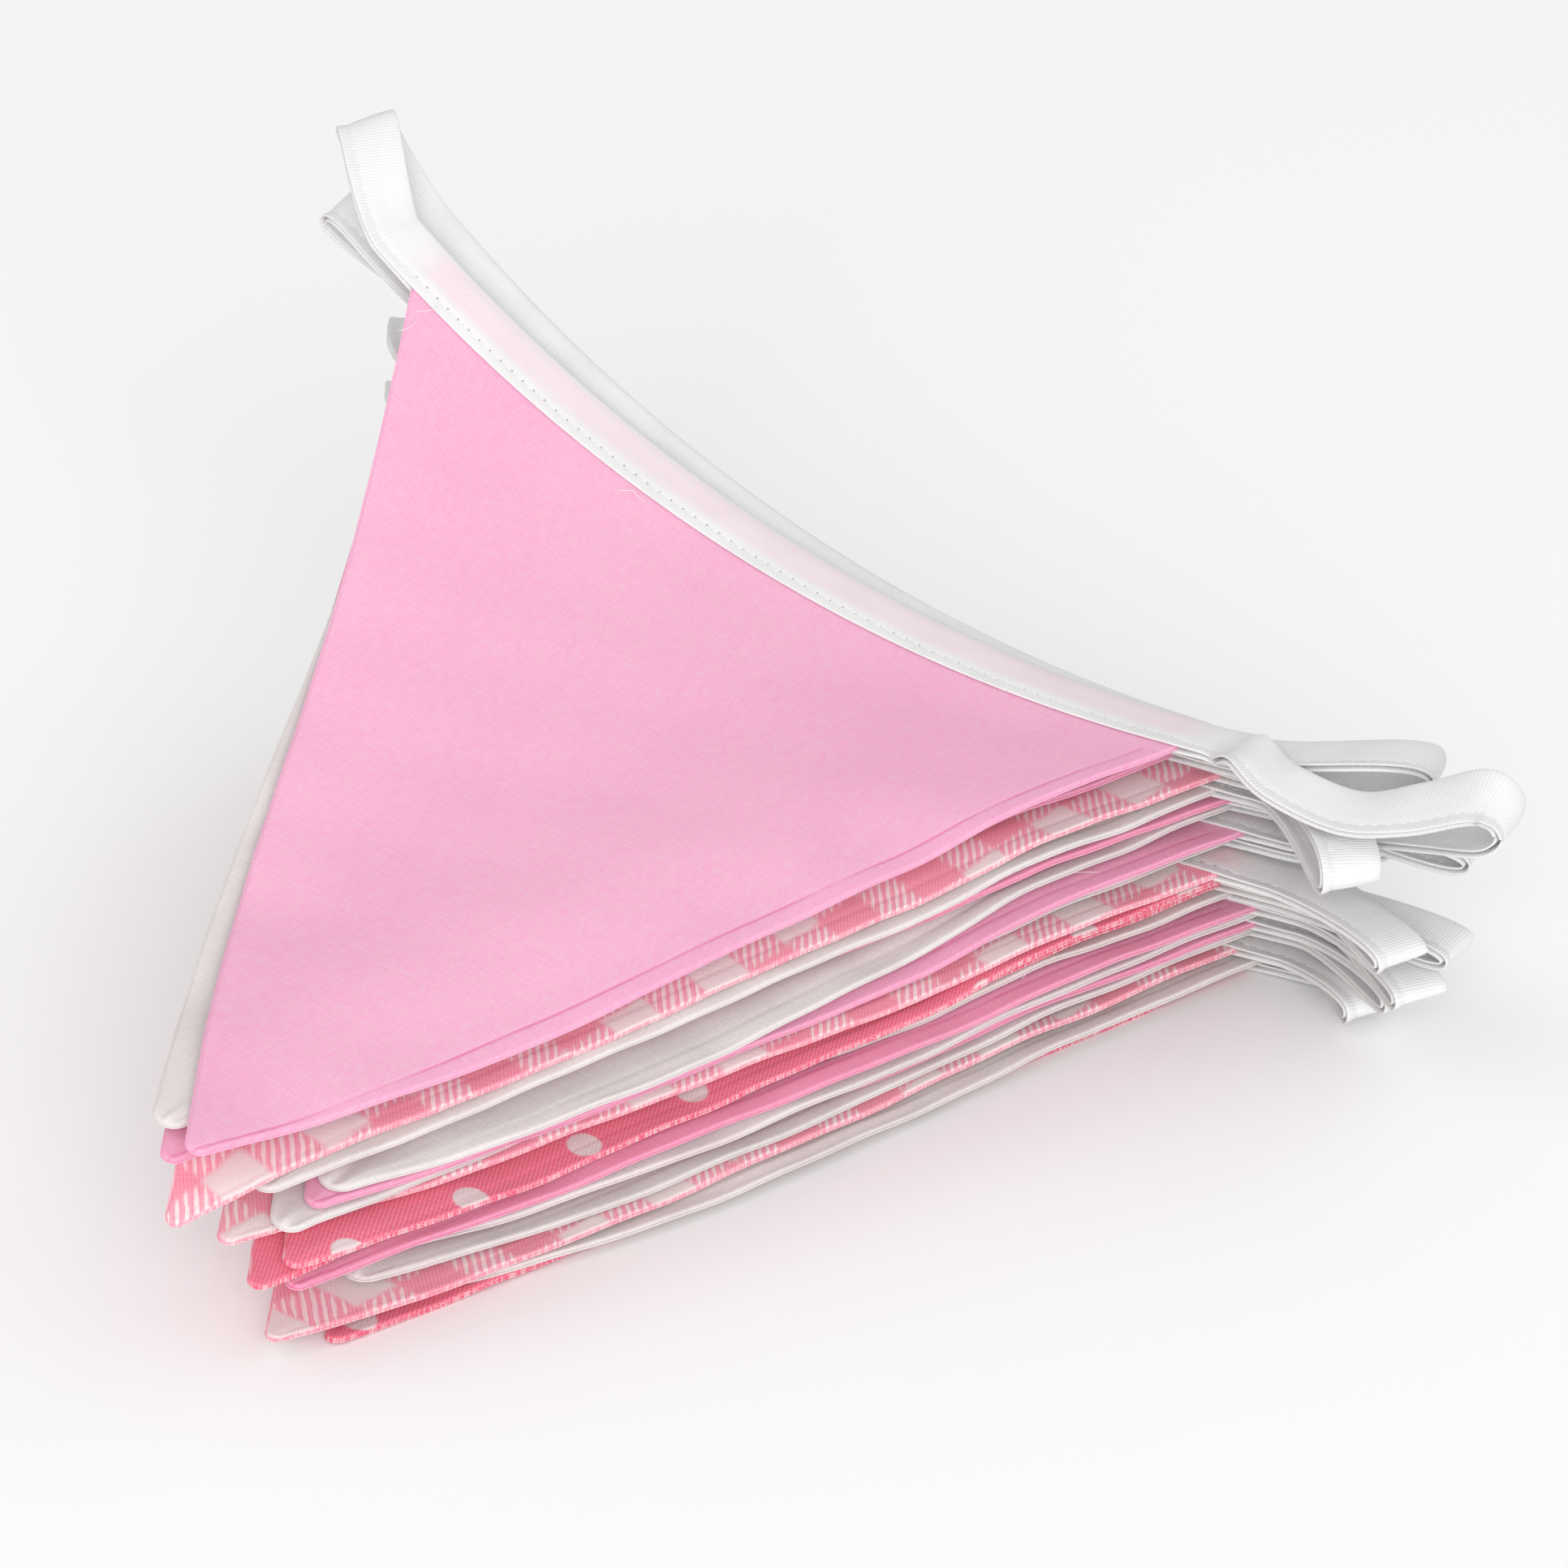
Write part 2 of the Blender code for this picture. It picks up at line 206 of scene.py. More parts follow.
def node(tree, kind, inputs=(), **settings):
    made = tree.nodes.new(kind)
    for key, value in settings.items():
        setattr(made, key, value)
    for key, value in dict(inputs).items():
        if isinstance(value, bpy.types.NodeSocket):
            tree.links.new(value, made.inputs[key])
        else:
            made.inputs[key].default_value = value
    return made


def maths(tree, operation, first, second=0.0, third=0.0):
    return node(tree, "ShaderNodeMath", {0: first, 1: second, 2: third}, operation=operation).outputs[0]


def blendColours(tree, share, first, second, mode="MIX"):
    mixed = node(tree, "ShaderNodeMix", {0: share, 6: first, 7: second}, data_type="RGBA", blend_type=mode)
    return mixed.outputs[2]


def smoothStep(tree, value, low, high, fromZero=0.0, toOne=1.0):
    made = node(tree, "ShaderNodeMapRange", {0: value, 1: low, 2: high, 3: fromZero, 4: toOne})
    made.interpolation_type = "SMOOTHSTEP"
    return made.outputs[0]


def attribute(tree, name):
    return node(tree, "ShaderNodeAttribute", attribute_name=name).outputs["Fac"]


def clothPlace(tree, turn=0.0, shift=(0.0, 0.0)):
    place = node(tree, "ShaderNodeUVMap", uv_map="cloth").outputs[0]
    turned = node(
        tree,
        "ShaderNodeMapping",
        {"Vector": place, "Location": (shift[0], shift[1], 0.0), "Rotation": (0.0, 0.0, radians(turn))},
    )
    return turned.outputs[0]


def threads(tree, place, across, along, detail=2.0):
    stretched = node(tree, "ShaderNodeMapping", {"Vector": place, "Scale": (across, along, 1.0)})
    cells = {"Vector": stretched.outputs[0], "Scale": 1.0, "Detail": detail}
    noise = node(tree, "ShaderNodeTexNoise", cells)
    return noise.outputs[0]


def waves(tree, value, pitch):
    turned = maths(tree, "MULTIPLY", value, 2 * pi / pitch)
    return maths(tree, "MULTIPLY_ADD", maths(tree, "SINE", turned), 0.5, 0.5)


def finishCloth(tree, shader, colour, heights, strength, depth):
    shader.inputs["Sheen Weight"].default_value = 0.08
    shader.inputs["Sheen Roughness"].default_value = 0.6
    tree.links.new(colour, shader.inputs["Base Color"])
    bump = node(tree, "ShaderNodeBump", {"Strength": strength, "Distance": depth, "Height": heights})
    tree.links.new(bump.outputs[0], shader.inputs["Normal"])


frayedPly = {"colour": (0.90, 0.70, 0.71, 1.0), "turn": -24.0, "share": 0.7}


def edgePly(tree, colour, tint):
    # the under ply shows past the upper one, its threads drawn out along the edge
    rim = attribute(tree, "rim")
    place = clothPlace(tree, frayedPly["turn"])
    drawn = smoothStep(tree, threads(tree, place, 2600, 150), 0.42, 0.62)
    drawn = maths(tree, "MULTIPLY", drawn, frayedPly["share"])
    frayed = blendColours(tree, drawn, tint, frayedPly["colour"])
    return blendColours(tree, smoothStep(tree, rim, 0.00034, 0.00052, 0.9, 0.0), colour, frayed)


seamLine = {"core": 0.00008, "half": 0.00042, "hem": 0.0008}


def seamShade(tree, colour, tint, dark, hem):
    # painted shade: a dark line in the seam's groove, fainter in places, and a darker tint on the hem
    # between it and the edge
    seam = attribute(tree, "seam")
    place = clothPlace(tree)
    faint = smoothStep(tree, threads(tree, place, 45, 45), 0.36, 0.58, 0.35, 1.0)
    away = maths(tree, "ABSOLUTE", seam)
    line = smoothStep(tree, away, seamLine["core"], seamLine["half"], dark, 0.0)
    line = maths(tree, "MULTIPLY", line, faint)
    hemShade = smoothStep(tree, seam, -seamLine["hem"], 0.0, hem, 0.0)
    colour = blendColours(tree, hemShade, colour, tint)
    return blendColours(tree, line, colour, tint)


# each cloth's seam colour is painted shade in the seam's groove and on the hem; pink and white also darken
# their weave with it
pinkCloth = {
    "colour": (0.800, 0.440, 0.582, 1.0),
    "shade": (0.782, 0.412, 0.566, 1.0),
    # painted shade: a deeper pink for the flags inside the pile
    "deep": (0.800, 0.330, 0.455, 1.0),
    "seam": (0.700, 0.150, 0.340, 1.0),
    "thread": 0.00042,
}
whiteCloth = {
    "colour": (0.725, 0.685, 0.674, 1.0),
    "shade": (0.680, 0.632, 0.624, 1.0),
    "seam": (0.530, 0.450, 0.445, 1.0),
    "thread": 0.00045,
}
ginghamCloth = {
    "pink": (0.860, 0.320, 0.410, 1.0),
    "deep": (0.850, 0.265, 0.360, 1.0),
    "white": (0.800, 0.690, 0.685, 1.0),
    "streaks": (0.880, 0.740, 0.740, 1.0),
    "seam": (0.700, 0.140, 0.220, 1.0),
    "square": 0.0098,
    "turn": 10.0,
    "streak": 0.00156,
    "twill": 0.00062,
}
dottedCloth = {
    "ground": (0.800, 0.135, 0.225, 1.0),
    "light": (0.850, 0.430, 0.495, 1.0),
    "dot": (0.720, 0.640, 0.640, 1.0),
    "seam": (0.640, 0.090, 0.160, 1.0),
    "dotRadius": 0.0030,
    "spacing": 0.0255,
    "twill": 0.00068,
    "twillTurn": 28.0,
    "twillShare": 0.36,
    "twillOnDots": 0.15,
    "turn": 20.0,
    "shift": (0.004, 0.003),
}


diagonal = 1.4142  # what x + y gains for one step across slanting lines


def twillGrain(tree, x, y, place, pitch):
    # short slanting floats: two sets of fine diagonal lines, broken up by the yarn
    rising = waves(tree, maths(tree, "ADD", x, y), pitch * diagonal)
    falling = waves(tree, maths(tree, "SUBTRACT", x, y), pitch * diagonal * 1.9)
    floats = maths(tree, "MULTIPLY_ADD", falling, 0.35, rising)
    broken = maths(tree, "MULTIPLY_ADD", threads(tree, place, 1800, 1800), 0.5, floats)
    return smoothStep(tree, broken, 0.45, 1.35)


def weaveHeights(tree, place, thread):
    warp = threads(tree, place, 1 / thread, 0.12 / thread)
    weft = threads(tree, place, 0.12 / thread, 1 / thread)
    return maths(tree, "ADD", warp, weft)


def pinkMaterial():
    made, tree, shader = newMaterial("pink cotton", 0.85)
    place = clothPlace(tree)
    heights = weaveHeights(tree, place, pinkCloth["thread"])
    slubs = threads(tree, place, 500, 60, 1.0)
    patches = threads(tree, place, 24, 18)
    tone = maths(tree, "ADD", maths(tree, "MULTIPLY", slubs, 0.15), maths(tree, "MULTIPLY", patches, 0.85))
    shade = smoothStep(tree, tone, 0.38, 0.66)
    colour = blendColours(tree, shade, pinkCloth["colour"], pinkCloth["shade"])
    # painted shade: the flags inside the pile are tinted towards the deeper pink
    pileShade = attribute(tree, "pileShade")
    colour = blendColours(tree, pileShade, colour, pinkCloth["deep"])
    fine = smoothStep(tree, heights, 0.75, 1.25, 0.0, 0.34)
    colour = blendColours(tree, fine, colour, pinkCloth["seam"], "SOFT_LIGHT")
    colour = seamShade(tree, colour, pinkCloth["seam"], 0.70, 0.11)
    finishCloth(tree, shader, colour, heights, 0.45, 0.00014)
    return made


def whiteMaterial():
    made, tree, shader = newMaterial("white cotton", 0.85)
    place = clothPlace(tree)
    heights = weaveHeights(tree, place, whiteCloth["thread"])
    patches = threads(tree, place, 60, 45)
    tone = smoothStep(tree, patches, 0.35, 0.7)
    colour = blendColours(tree, tone, whiteCloth["colour"], whiteCloth["shade"])
    fine = smoothStep(tree, heights, 0.75, 1.25, 0.0, 0.16)
    colour = blendColours(tree, fine, colour, whiteCloth["seam"])
    colour = seamShade(tree, colour, whiteCloth["seam"], 0.14, 0.0)
    finishCloth(tree, shader, colour, heights, 0.5, 0.00014)
    return made


def ginghamMaterial():
    made, tree, shader = newMaterial("gingham", 0.85)
    place = clothPlace(tree, ginghamCloth["turn"])
    x, y, z = node(tree, "ShaderNodeSeparateXYZ", {0: place}).outputs
    square = ginghamCloth["square"]
    wobble = maths(tree, "MULTIPLY_ADD", threads(tree, place, 160, 160), 0.0024, -0.0012)
    stripes, ramps = [], []
    for way in (x, y):
        turned = maths(tree, "SINE", maths(tree, "MULTIPLY", maths(tree, "ADD", way, wobble), pi / square))
        stripes.append(smoothStep(tree, turned, -0.26, 0.22))
        ramps.append(smoothStep(tree, turned, -0.75, 0.75))
    both = maths(tree, "MULTIPLY", stripes[0], stripes[1])
    either = maths(tree, "SUBTRACT", maths(tree, "ADD", stripes[0], stripes[1]), both)
    half = maths(tree, "SUBTRACT", either, both)
    middle = maths(tree, "ABSOLUTE", maths(tree, "SUBTRACT", ramps[0], ramps[1]))
    slant = maths(tree, "ADD", x, y)
    drift = maths(tree, "MULTIPLY_ADD", threads(tree, place, 260, 260), 0.0011, slant)
    streaks = waves(tree, drift, ginghamCloth["streak"] * diagonal)
    # the streaks taper off towards the plain squares
    tapered = maths(tree, "MULTIPLY_ADD", middle, 0.62, streaks)
    grain = maths(tree, "MULTIPLY_ADD", threads(tree, place, 1500, 1500), 0.30, tapered)
    light = maths(tree, "MULTIPLY", half, smoothStep(tree, grain, 1.14, 1.52, 0.0, 0.92))
    twill = twillGrain(tree, x, y, place, ginghamCloth["twill"])
    solid = blendColours(tree, both, ginghamCloth["pink"], ginghamCloth["deep"])
    colour = blendColours(tree, either, ginghamCloth["white"], solid)
    colour = blendColours(tree, light, colour, ginghamCloth["streaks"])
    colour = blendColours(tree, maths(tree, "MULTIPLY", twill, 0.20), colour, ginghamCloth["streaks"])
    colour = seamShade(tree, colour, ginghamCloth["seam"], 0.12, 0.0)
    heights = maths(tree, "ADD", twill, threads(tree, place, 2200, 2200))
    finishCloth(tree, shader, edgePly(tree, colour, ginghamCloth["pink"]), heights, 0.35, 0.00012)
    return made


def dottedMaterial():
    made, tree, shader = newMaterial("dotted cotton", 0.85)
    place = clothPlace(tree, dottedCloth["turn"], dottedCloth["shift"])
    x, y, z = node(tree, "ShaderNodeSeparateXYZ", {0: place}).outputs
    spacing = dottedCloth["spacing"]
    dots = None
    for shift in (0.0, 0.5):
        sides = []
        for way in (x, y):
            cell = maths(tree, "FRACT", maths(tree, "MULTIPLY_ADD", way, 1 / spacing, 100.0 + shift))
            sides.append(maths(tree, "POWER", maths(tree, "SUBTRACT", cell, 0.5), 2.0))
        distance = maths(tree, "SQRT", maths(tree, "ADD", sides[0], sides[1]))
        radius = dottedCloth["dotRadius"] / spacing
        dot = smoothStep(tree, distance, radius * 0.9, radius * 1.1, 1.0, 0.0)
        dots = dot if dots is None else maths(tree, "MAXIMUM", dots, dot)
    grainPlace = clothPlace(tree, dottedCloth["twillTurn"])
    x, y, z = node(tree, "ShaderNodeSeparateXYZ", {0: grainPlace}).outputs
    twill = twillGrain(tree, x, y, grainPlace, dottedCloth["twill"])
    faded = maths(tree, "MULTIPLY", twill, dottedCloth["twillShare"])
    ground = blendColours(tree, faded, dottedCloth["ground"], dottedCloth["light"])
    worn = maths(tree, "MULTIPLY", twill, dottedCloth["twillOnDots"])
    worn = blendColours(tree, worn, dottedCloth["dot"], dottedCloth["light"])
    colour = blendColours(tree, dots, ground, worn)
    heights = maths(tree, "ADD", twill, threads(tree, place, 2200, 2200))
    colour = seamShade(tree, colour, dottedCloth["seam"], 0.10, 0.0)
    finishCloth(tree, shader, edgePly(tree, colour, dottedCloth["ground"]), heights, 0.3, 0.00012)
    return made


clothMaterials = {
    "pink": pinkMaterial(),
    "white": whiteMaterial(),
    "gingham": ginghamMaterial(),
    "dotted": dottedMaterial(),
}
print("cloth materials made")


# the flags: two plies with a rounded edge, a seam line inside it and small waves

flagCloth = {
    "columns": 36,
    "rows": 66,
    "tipSteps": 9,
    "tabSteps": (0.0, 0.3, 3.0, 6.0, 9.0),
    "frayColumn": -4,
    "narrow": 10.5,  # the edge steps draw together where half the flag is narrower
    "edgeSteps": (0.0, 0.16, 0.36, 0.42, 0.6, 0.95, 1.5, 2.2, 2.9, 3.3, 3.6, 3.9, 4.4, 5.6, 8.0),
    "tipRadius": {"pink": 2.4, "white": 3.6, "gingham": 2.0, "dotted": 2.2},
    "underPly": 0.36,
    "edgeRound": 0.26,
    "seamFromEdge": 3.6,
    "seamAtTip": 1.3,
    "seamTurns": (0.68, 0.96),
    "seamHalf": 0.35,
    "seamDepth": 0.12,
    "rimStrip": 1.2,
    "puff": {"pink": 0.04, "white": 0.08, "gingham": 0.05, "dotted": 0.05},
    "tipPuff": {"pink": 0.12, "white": 0.42, "gingham": 0.14, "dotted": 0.14},
    "puffAt": 2.6,
    "puffSpread": 1.9,
    "patternShift": {4: (-0.0098, -0.0030)},
    # painted shade: how strongly each flag inside the pile takes the deeper pink
    "pileShade": {3: 0.5, 6: 0.8, 8: 0.4, 14: 0.6, 16: 0.7},
    "waves": ((0.20, 74.0, 20.0), (0.09, 31.0, 70.0)),
    "rimWaves": ((0.24, 41.0), (0.13, 19.0)),
    "waveTurn": 25,
    "rimReach": 9.0,
    "tipReach": 7.0,
    "tipPuckers": 6.0,
    "tipPucker": {"pink": 0.10, "white": 0.42, "gingham": 0.12, "dotted": 0.10},
    "seed": 11,
}
# creases, given one by one: behind the front edge, height and half width in mm, ends as shares of the drop
creaseRow = namedtuple("creaseRow", "flag behind height spread start end")
creases = [
    creaseRow(1, 31.0, 0.55, 13.0, 0.10, 0.92),
    creaseRow(1, 9.0, -0.22, 4.0, 0.30, 0.85),
    creaseRow(1, 74.0, 0.35, 16.0, 0.00, 0.55),
    creaseRow(3, 14.0, 0.25, 5.0, 0.20, 0.90),
    creaseRow(4, 5.5, 0.22, 2.2, 0.02, 0.40),
    creaseRow(4, 7.0, -0.20, 3.0, 0.55, 0.96),
    creaseRow(5, 4.0, 0.30, 2.0, 0.45, 0.95),
    creaseRow(7, 7.5, 0.42, 2.6, 0.12, 0.60),
    creaseRow(7, 3.4, -0.30, 1.5, 0.20, 0.55),
    creaseRow(7, 11.0, 0.35, 3.5, 0.70, 0.99),
    creaseRow(8, 6.0, 0.45, 2.6, 0.02, 0.45),
    creaseRow(10, 3.2, 0.22, 1.4, 0.20, 0.85),
    creaseRow(11, 6.0, -0.28, 2.4, 0.30, 0.85),
    creaseRow(14, 4.5, 0.45, 2.2, 0.10, 0.75),
    creaseRow(14, 9.0, -0.30, 2.5, 0.10, 0.60),
    creaseRow(15, 5.0, 0.40, 2.2, 0.50, 0.98),
    creaseRow(18, 4.5, 0.22, 2.0, 0.15, 0.80),
    creaseRow(19, 5.0, 0.40, 2.4, 0.30, 0.97),
    creaseRow(19, 2.4, -0.18, 1.0, 0.35, 0.80),
]


def tipShape(drop, radius):
    # where the straight sides would meet, the round tip's centre and where the rounding begins
    lean = np.arctan2(pile["width"] / 2, drop)
    apex = drop + (radius / np.sin(lean) - radius)
    centre = drop - radius
    return apex, centre, centre + radius * np.sin(np.arctan(pile["width"] / 2 / apex))


def halfWidth(down, radius, apex, centre, tangent):
    side = np.minimum(pile["width"] / 2 * (1 - down / apex), pile["width"] / 2)
    nose = np.sqrt(np.maximum(radius**2 - (down - centre) ** 2, 0.0))
    return np.where(down < tangent, side, nose)


def flagRelief(number, along, down, rim, front, half):
    # small waves, puffed seams, puckered tips and the listed creases, in mm
    row = flagRows[number - 1]
    cloth, drop = row.cloth, row.drop * mm
    random = np.random.RandomState(flagCloth["seed"] + number)
    lift = np.zeros_like(along)
    for depth, length, heading in flagCloth["waves"]:
        heading = radians(heading + random.uniform(-flagCloth["waveTurn"], flagCloth["waveTurn"]))
        run = along * cos(heading) + down * sin(heading)
        length = length * mm * random.uniform(0.8, 1.2)
        lift += depth * np.sin(2 * pi * run / length + random.uniform(0, 6.3))
    edge = np.exp(-rim / (flagCloth["rimReach"] * mm))
    for depth, length in flagCloth["rimWaves"]:
        run = down + along * 0.1
        length = length * mm * random.uniform(0.8, 1.25)
        lift += depth * edge * np.sin(2 * pi * run / length + random.uniform(0, 6.3))
    share = down / drop
    for crease in creases:
        if crease.flag == number:
            middle = crease.behind + 1.2 * np.sin(9 * share)
            across = np.exp(-(((front / mm - middle) / crease.spread) ** 2))
            begins = ease(share, crease.start - 0.06, crease.start + 0.12)
            ends = ease(share, crease.end - 0.12, crease.end + 0.04)
            lift += crease.height * across * begins * (1 - ends)
    toTip = np.exp(-np.maximum(drop - down, 0.0) / (flagCloth["tipReach"] * mm))
    fan = np.sin(flagCloth["tipPuckers"] * along / np.maximum(half, 2 * mm) + random.uniform(0, 6.3))
    lift += flagCloth["tipPucker"][cloth] * fan * toTip * ease(rim, 0.0, 2 * mm)
    puff = flagCloth["puff"][cloth] + flagCloth["tipPuff"][cloth] * toTip**0.6
    puff = puff * np.exp(-(((rim / mm - flagCloth["puffAt"]) / flagCloth["puffSpread"]) ** 2))
    puff = puff * ease(rim, 0.0, flagCloth["rimStrip"] * mm)
    return lift * ease(down, 0.0, 20 * mm), puff * ease(down, 0.0, 12 * mm)


def makeFlag(number):
    layer = layers - number
    row = flagRows[number - 1]
    cloth, drop = row.cloth, row.drop * mm
    random = np.random.RandomState(flagCloth["seed"] + 50 + number)
    radius = flagCloth["tipRadius"][cloth] * mm
    apex, centre, tangent = tipShape(drop, radius)
    tabRows = -pile["tab"] + np.array(flagCloth["tabSteps"]) * mm
    body = np.linspace(0.0, tangent, flagCloth["rows"])
    angles = np.linspace(np.arcsin((tangent - centre) / radius), pi / 2, flagCloth["tipSteps"])[1:]
    down = np.concatenate((tabRows, body, centre + radius * np.sin(angles)))
    half = halfWidth(down, radius, apex, centre, tangent)
    steps = np.array(flagCloth["edgeSteps"]) * mm
    scale = np.minimum(1.0, half / (flagCloth["narrow"] * mm))
    inner = np.linspace(-1.0, 1.0, flagCloth["columns"])[1:-1]
    lefts = -half[:, None] + steps[None, :] * scale[:, None]
    rights = half[:, None] - steps[None, ::-1] * scale[:, None]
    middles = inner[None, :] * (half - steps[-1] * scale)[:, None]
    along = np.concatenate((lefts, middles, rights), axis=1)
    down = np.repeat(down[:, None], along.shape[1], axis=1)
    slope = pile["width"] / 2 / apex
    lean = np.arctan(slope)
    front = (pile["width"] / 2 * (1 - down / apex) - along) * np.cos(lean)
    fromSide = (pile["width"] / 2 * (1 - down / apex) - np.abs(along)) * np.cos(lean)
    fromSide = np.where(down < 0, pile["width"] / 2 - np.abs(along), fromSide)
    atTip = (down - centre) > np.abs(along) * slope
    fromTip = radius - np.sqrt(along**2 + (down - centre) ** 2)
    rim = np.maximum(np.where(atTip, fromTip, fromSide), 0.0)
    rim = np.minimum(rim, down + pile["tab"])
    # the back side draws in above the middle and out below it, the front side bulges
    share = np.clip(down / drop, 0.0, 1.0)
    bow = pile["edgeBow"] * np.sin(2 * pi * share)
    bulge = row.belly * mm * np.sin(pi * share ** pile["bellyPower"])
    aside = along / np.maximum(half[:, None], 1e-6)
    placed = along + bow * (1.0 - aside) / 2 + bulge * (1.0 + aside) / 2
    across = topEdge - down
    points = clothPoint(layer, placed, across)
    normals = clothNormal(layer, placed, across)
    lift, puff = flagRelief(number, along, down, rim, front, half[:, None])
    thick = pile["cloth"] / 2
    step = flagCloth["underPly"] * mm
    upRound = np.clip((rim - step) / (flagCloth["edgeRound"] * mm), 0.0, 1.0)
    lowRound = np.clip(rim / (flagCloth["edgeRound"] * mm), 0.0, 1.0)
    above = thick * np.sqrt(np.maximum(1 - (1 - upRound) ** 2, 0.0)) + puff * mm
    below = thick * np.sqrt(np.maximum(1 - (1 - lowRound) ** 2, 0.0))
    # the seam runs closer to the edge at the tip
    nearTip = ease(share, *flagCloth["seamTurns"])
    seamAt = flagCloth["seamFromEdge"] * (1 - nearTip) + flagCloth["seamAtTip"] * nearTip
    fromSeam = front - seamAt * mm
    groove = np.exp(-((fromSeam / (flagCloth["seamHalf"] * mm)) ** 2)) * ease(down, 0.0, 4 * mm)
    above -= flagCloth["seamDepth"] * mm * groove * (rim > flagCloth["rimStrip"] * mm)
    middle = points + normals * (lift * mm)[..., None]
    upper = middle + normals * above[..., None]
    lower = middle - normals * below[..., None]
    rows, columns = along.shape
    upIndex = np.arange(rows * columns).reshape(rows, columns)
    shared = np.zeros((rows, columns), bool)
    shared[0, :] = shared[-1, :] = shared[:, 0] = shared[:, -1] = True
    upper[shared] = middle[shared]
    lowIndex = upIndex.copy()
    free = ~shared
    lowIndex[free] = rows * columns + np.arange(free.sum())
    faces = []
    for r in range(rows - 1):
        for c in range(columns - 1):
            u = upIndex[r, c], upIndex[r + 1, c], upIndex[r + 1, c + 1], upIndex[r, c + 1]
            d = lowIndex[r, c], lowIndex[r, c + 1], lowIndex[r + 1, c + 1], lowIndex[r + 1, c]
            faces += [u, d]
    points = np.concatenate((upper.reshape(-1, 3), lower[free]))
    shift = random.uniform(-0.04, 0.04, 2) + np.array(flagCloth["patternShift"].get(number, (0.0, 0.0)))
    pairs = np.stack((along, -down), axis=-1) + shift
    pairs = np.concatenate((pairs.reshape(-1, 2), pairs[free]))
    piece = meshPiece(f"flag_{number:02d}", points, faces, clothMaterials[cloth])
    flatCoordinates(piece.data, pairs)
    pointValues(piece.data, "rim", np.concatenate((rim.ravel(), rim[free])))
    fromSeam = np.where(down < 0.001, 0.05, fromSeam)
    pointValues(piece.data, "seam", np.concatenate((fromSeam.ravel(), np.full(free.sum(), 0.05))))
    pointValues(piece.data, "pileShade", np.full(len(points), flagCloth["pileShade"].get(number, 0.0)))
    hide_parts(f"pennant_{number:02d}_{cloth}")
    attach(piece, "root")
    # the front edge is kept for the frayed threads that follow it
    edge = slice(len(flagCloth["tabSteps"]), 1 - flagCloth["tipSteps"]), flagCloth["frayColumn"]
    return upper[edge], normals[edge]


frontEdges = [makeFlag(number) for number in range(1, layers + 1)]
print("flags made:", len(frontEdges))


# the binding tape, folded lengthwise over the flags' top edges

tape = {
    "ply": 0.35,
    "overFlag": 0.62,
    "free": 0.12,
    "puff": 0.10,
    "puffAt": 1.5,
    "puffSpread": 2.6,
    "gape": 0.35,
    "pinch": 0.10,
    "pinchSpread": 0.5,
    "roundFrom": 3.4,
    "stitchFromFold": 9.6,
    "outerToStitch": (-5.6, -4.9, -4.2, -3.9),
    "outerToFold": (-3.3, -3.0, -2.2, -0.8, 1.0, 2.8, 4.2, 5.1, 5.65, 5.9),
    "inner": (-1.5, 1.5, 4.0, 5.1),
    "pastCorner": 9.0,
    "neck": 0.35,
    "layerSteps": 58,
    "loopSteps": 22,
    "ribs": 0.00062,
    "ribShade": 0.30,
    "colour": (0.780, 0.780, 0.772, 1.0),
    "shade": (0.735, 0.735, 0.728, 1.0),
    "ribColour": (0.640, 0.640, 0.635, 1.0),
    # painted shade: dark dots in the stitch holes
    "holeShade": (0.300, 0.270, 0.265, 1.0),
    "stitchPitch": 2.9,
    "showsThrough": 0.30,
}
# reach past the pennants, how far to the back, rise, belly (mm) and lean (degrees)
loopRow = namedtuple("loopRow", "reach side rise belly lean")
rightLoops = [
    loopRow(39, 10, 2.5, 7, 0),
    loopRow(29, -23, -1, 8, 0),
    loopRow(37, 5, -3.5, 4.5, 0),
    loopRow(15, 10, -0.7, 4, 0),
    loopRow(33, -14, -1.5, 4, 0),
    loopRow(39, -3, -1.2, 4, 0),
    loopRow(31, -18, -1.2, 4, 0),
    loopRow(28, -15, -0.5, 4, 0),
    loopRow(20, -13, 0, 4, 0),
]
leftLoops = [
    loopRow(13, 9, 17, 6, -18),
    loopRow(18, 1, 12, 4.5, -20),
    loopRow(5, 8, 4, 5, 0),
    loopRow(6, 8, 4, 5, 0),
    loopRow(6, 8, 3, 5, 0),
    loopRow(6, 8, 3, 5, 0),
    loopRow(8, 6, 2, 5, 0),
    loopRow(10, 1, 1, 4, 0),
    loopRow(10, 0, 0, 4, 0),
    loopRow(9, 1, 0, 3, 0),
]
# out, to the back, up (mm) and lean (degrees), from the end of the top and the lowest tape
topTail = [
    (5, -2.8, 1.5, 0),
    (14, -7, -0.6, -10),
    (28, -7, -3, -15),
    (41, -6.5, 1, -30),
    (53, -6, 6.5, -35),
    (58.5, -6, 5.5, -20),
    (60, -6, 2, -10),
    (57, -6, -1.5, 0),
    (45, -1, -6.4, 0),
    (29, 3.5, -11.5, 0),
]
lowTail = [(3, 0, 0, 0), (6, 0, 0, 0)]
up = np.array([0.0, 0.0, 1.0])


def tapeFrame(layer, along):
    middle = topEdge + pile["tapeWidth"] / 2
    small = 1 * mm
    centre = clothPoint(layer, along, middle)
    length = unit(clothPoint(layer, along + small, middle) - clothPoint(layer, along - small, middle))
    width = clothPoint(layer, along, middle + small) - clothPoint(layer, along, middle - small)
    width = unit(width - length * np.sum(width * length, axis=-1, keepdims=True))
    return centre, length, width


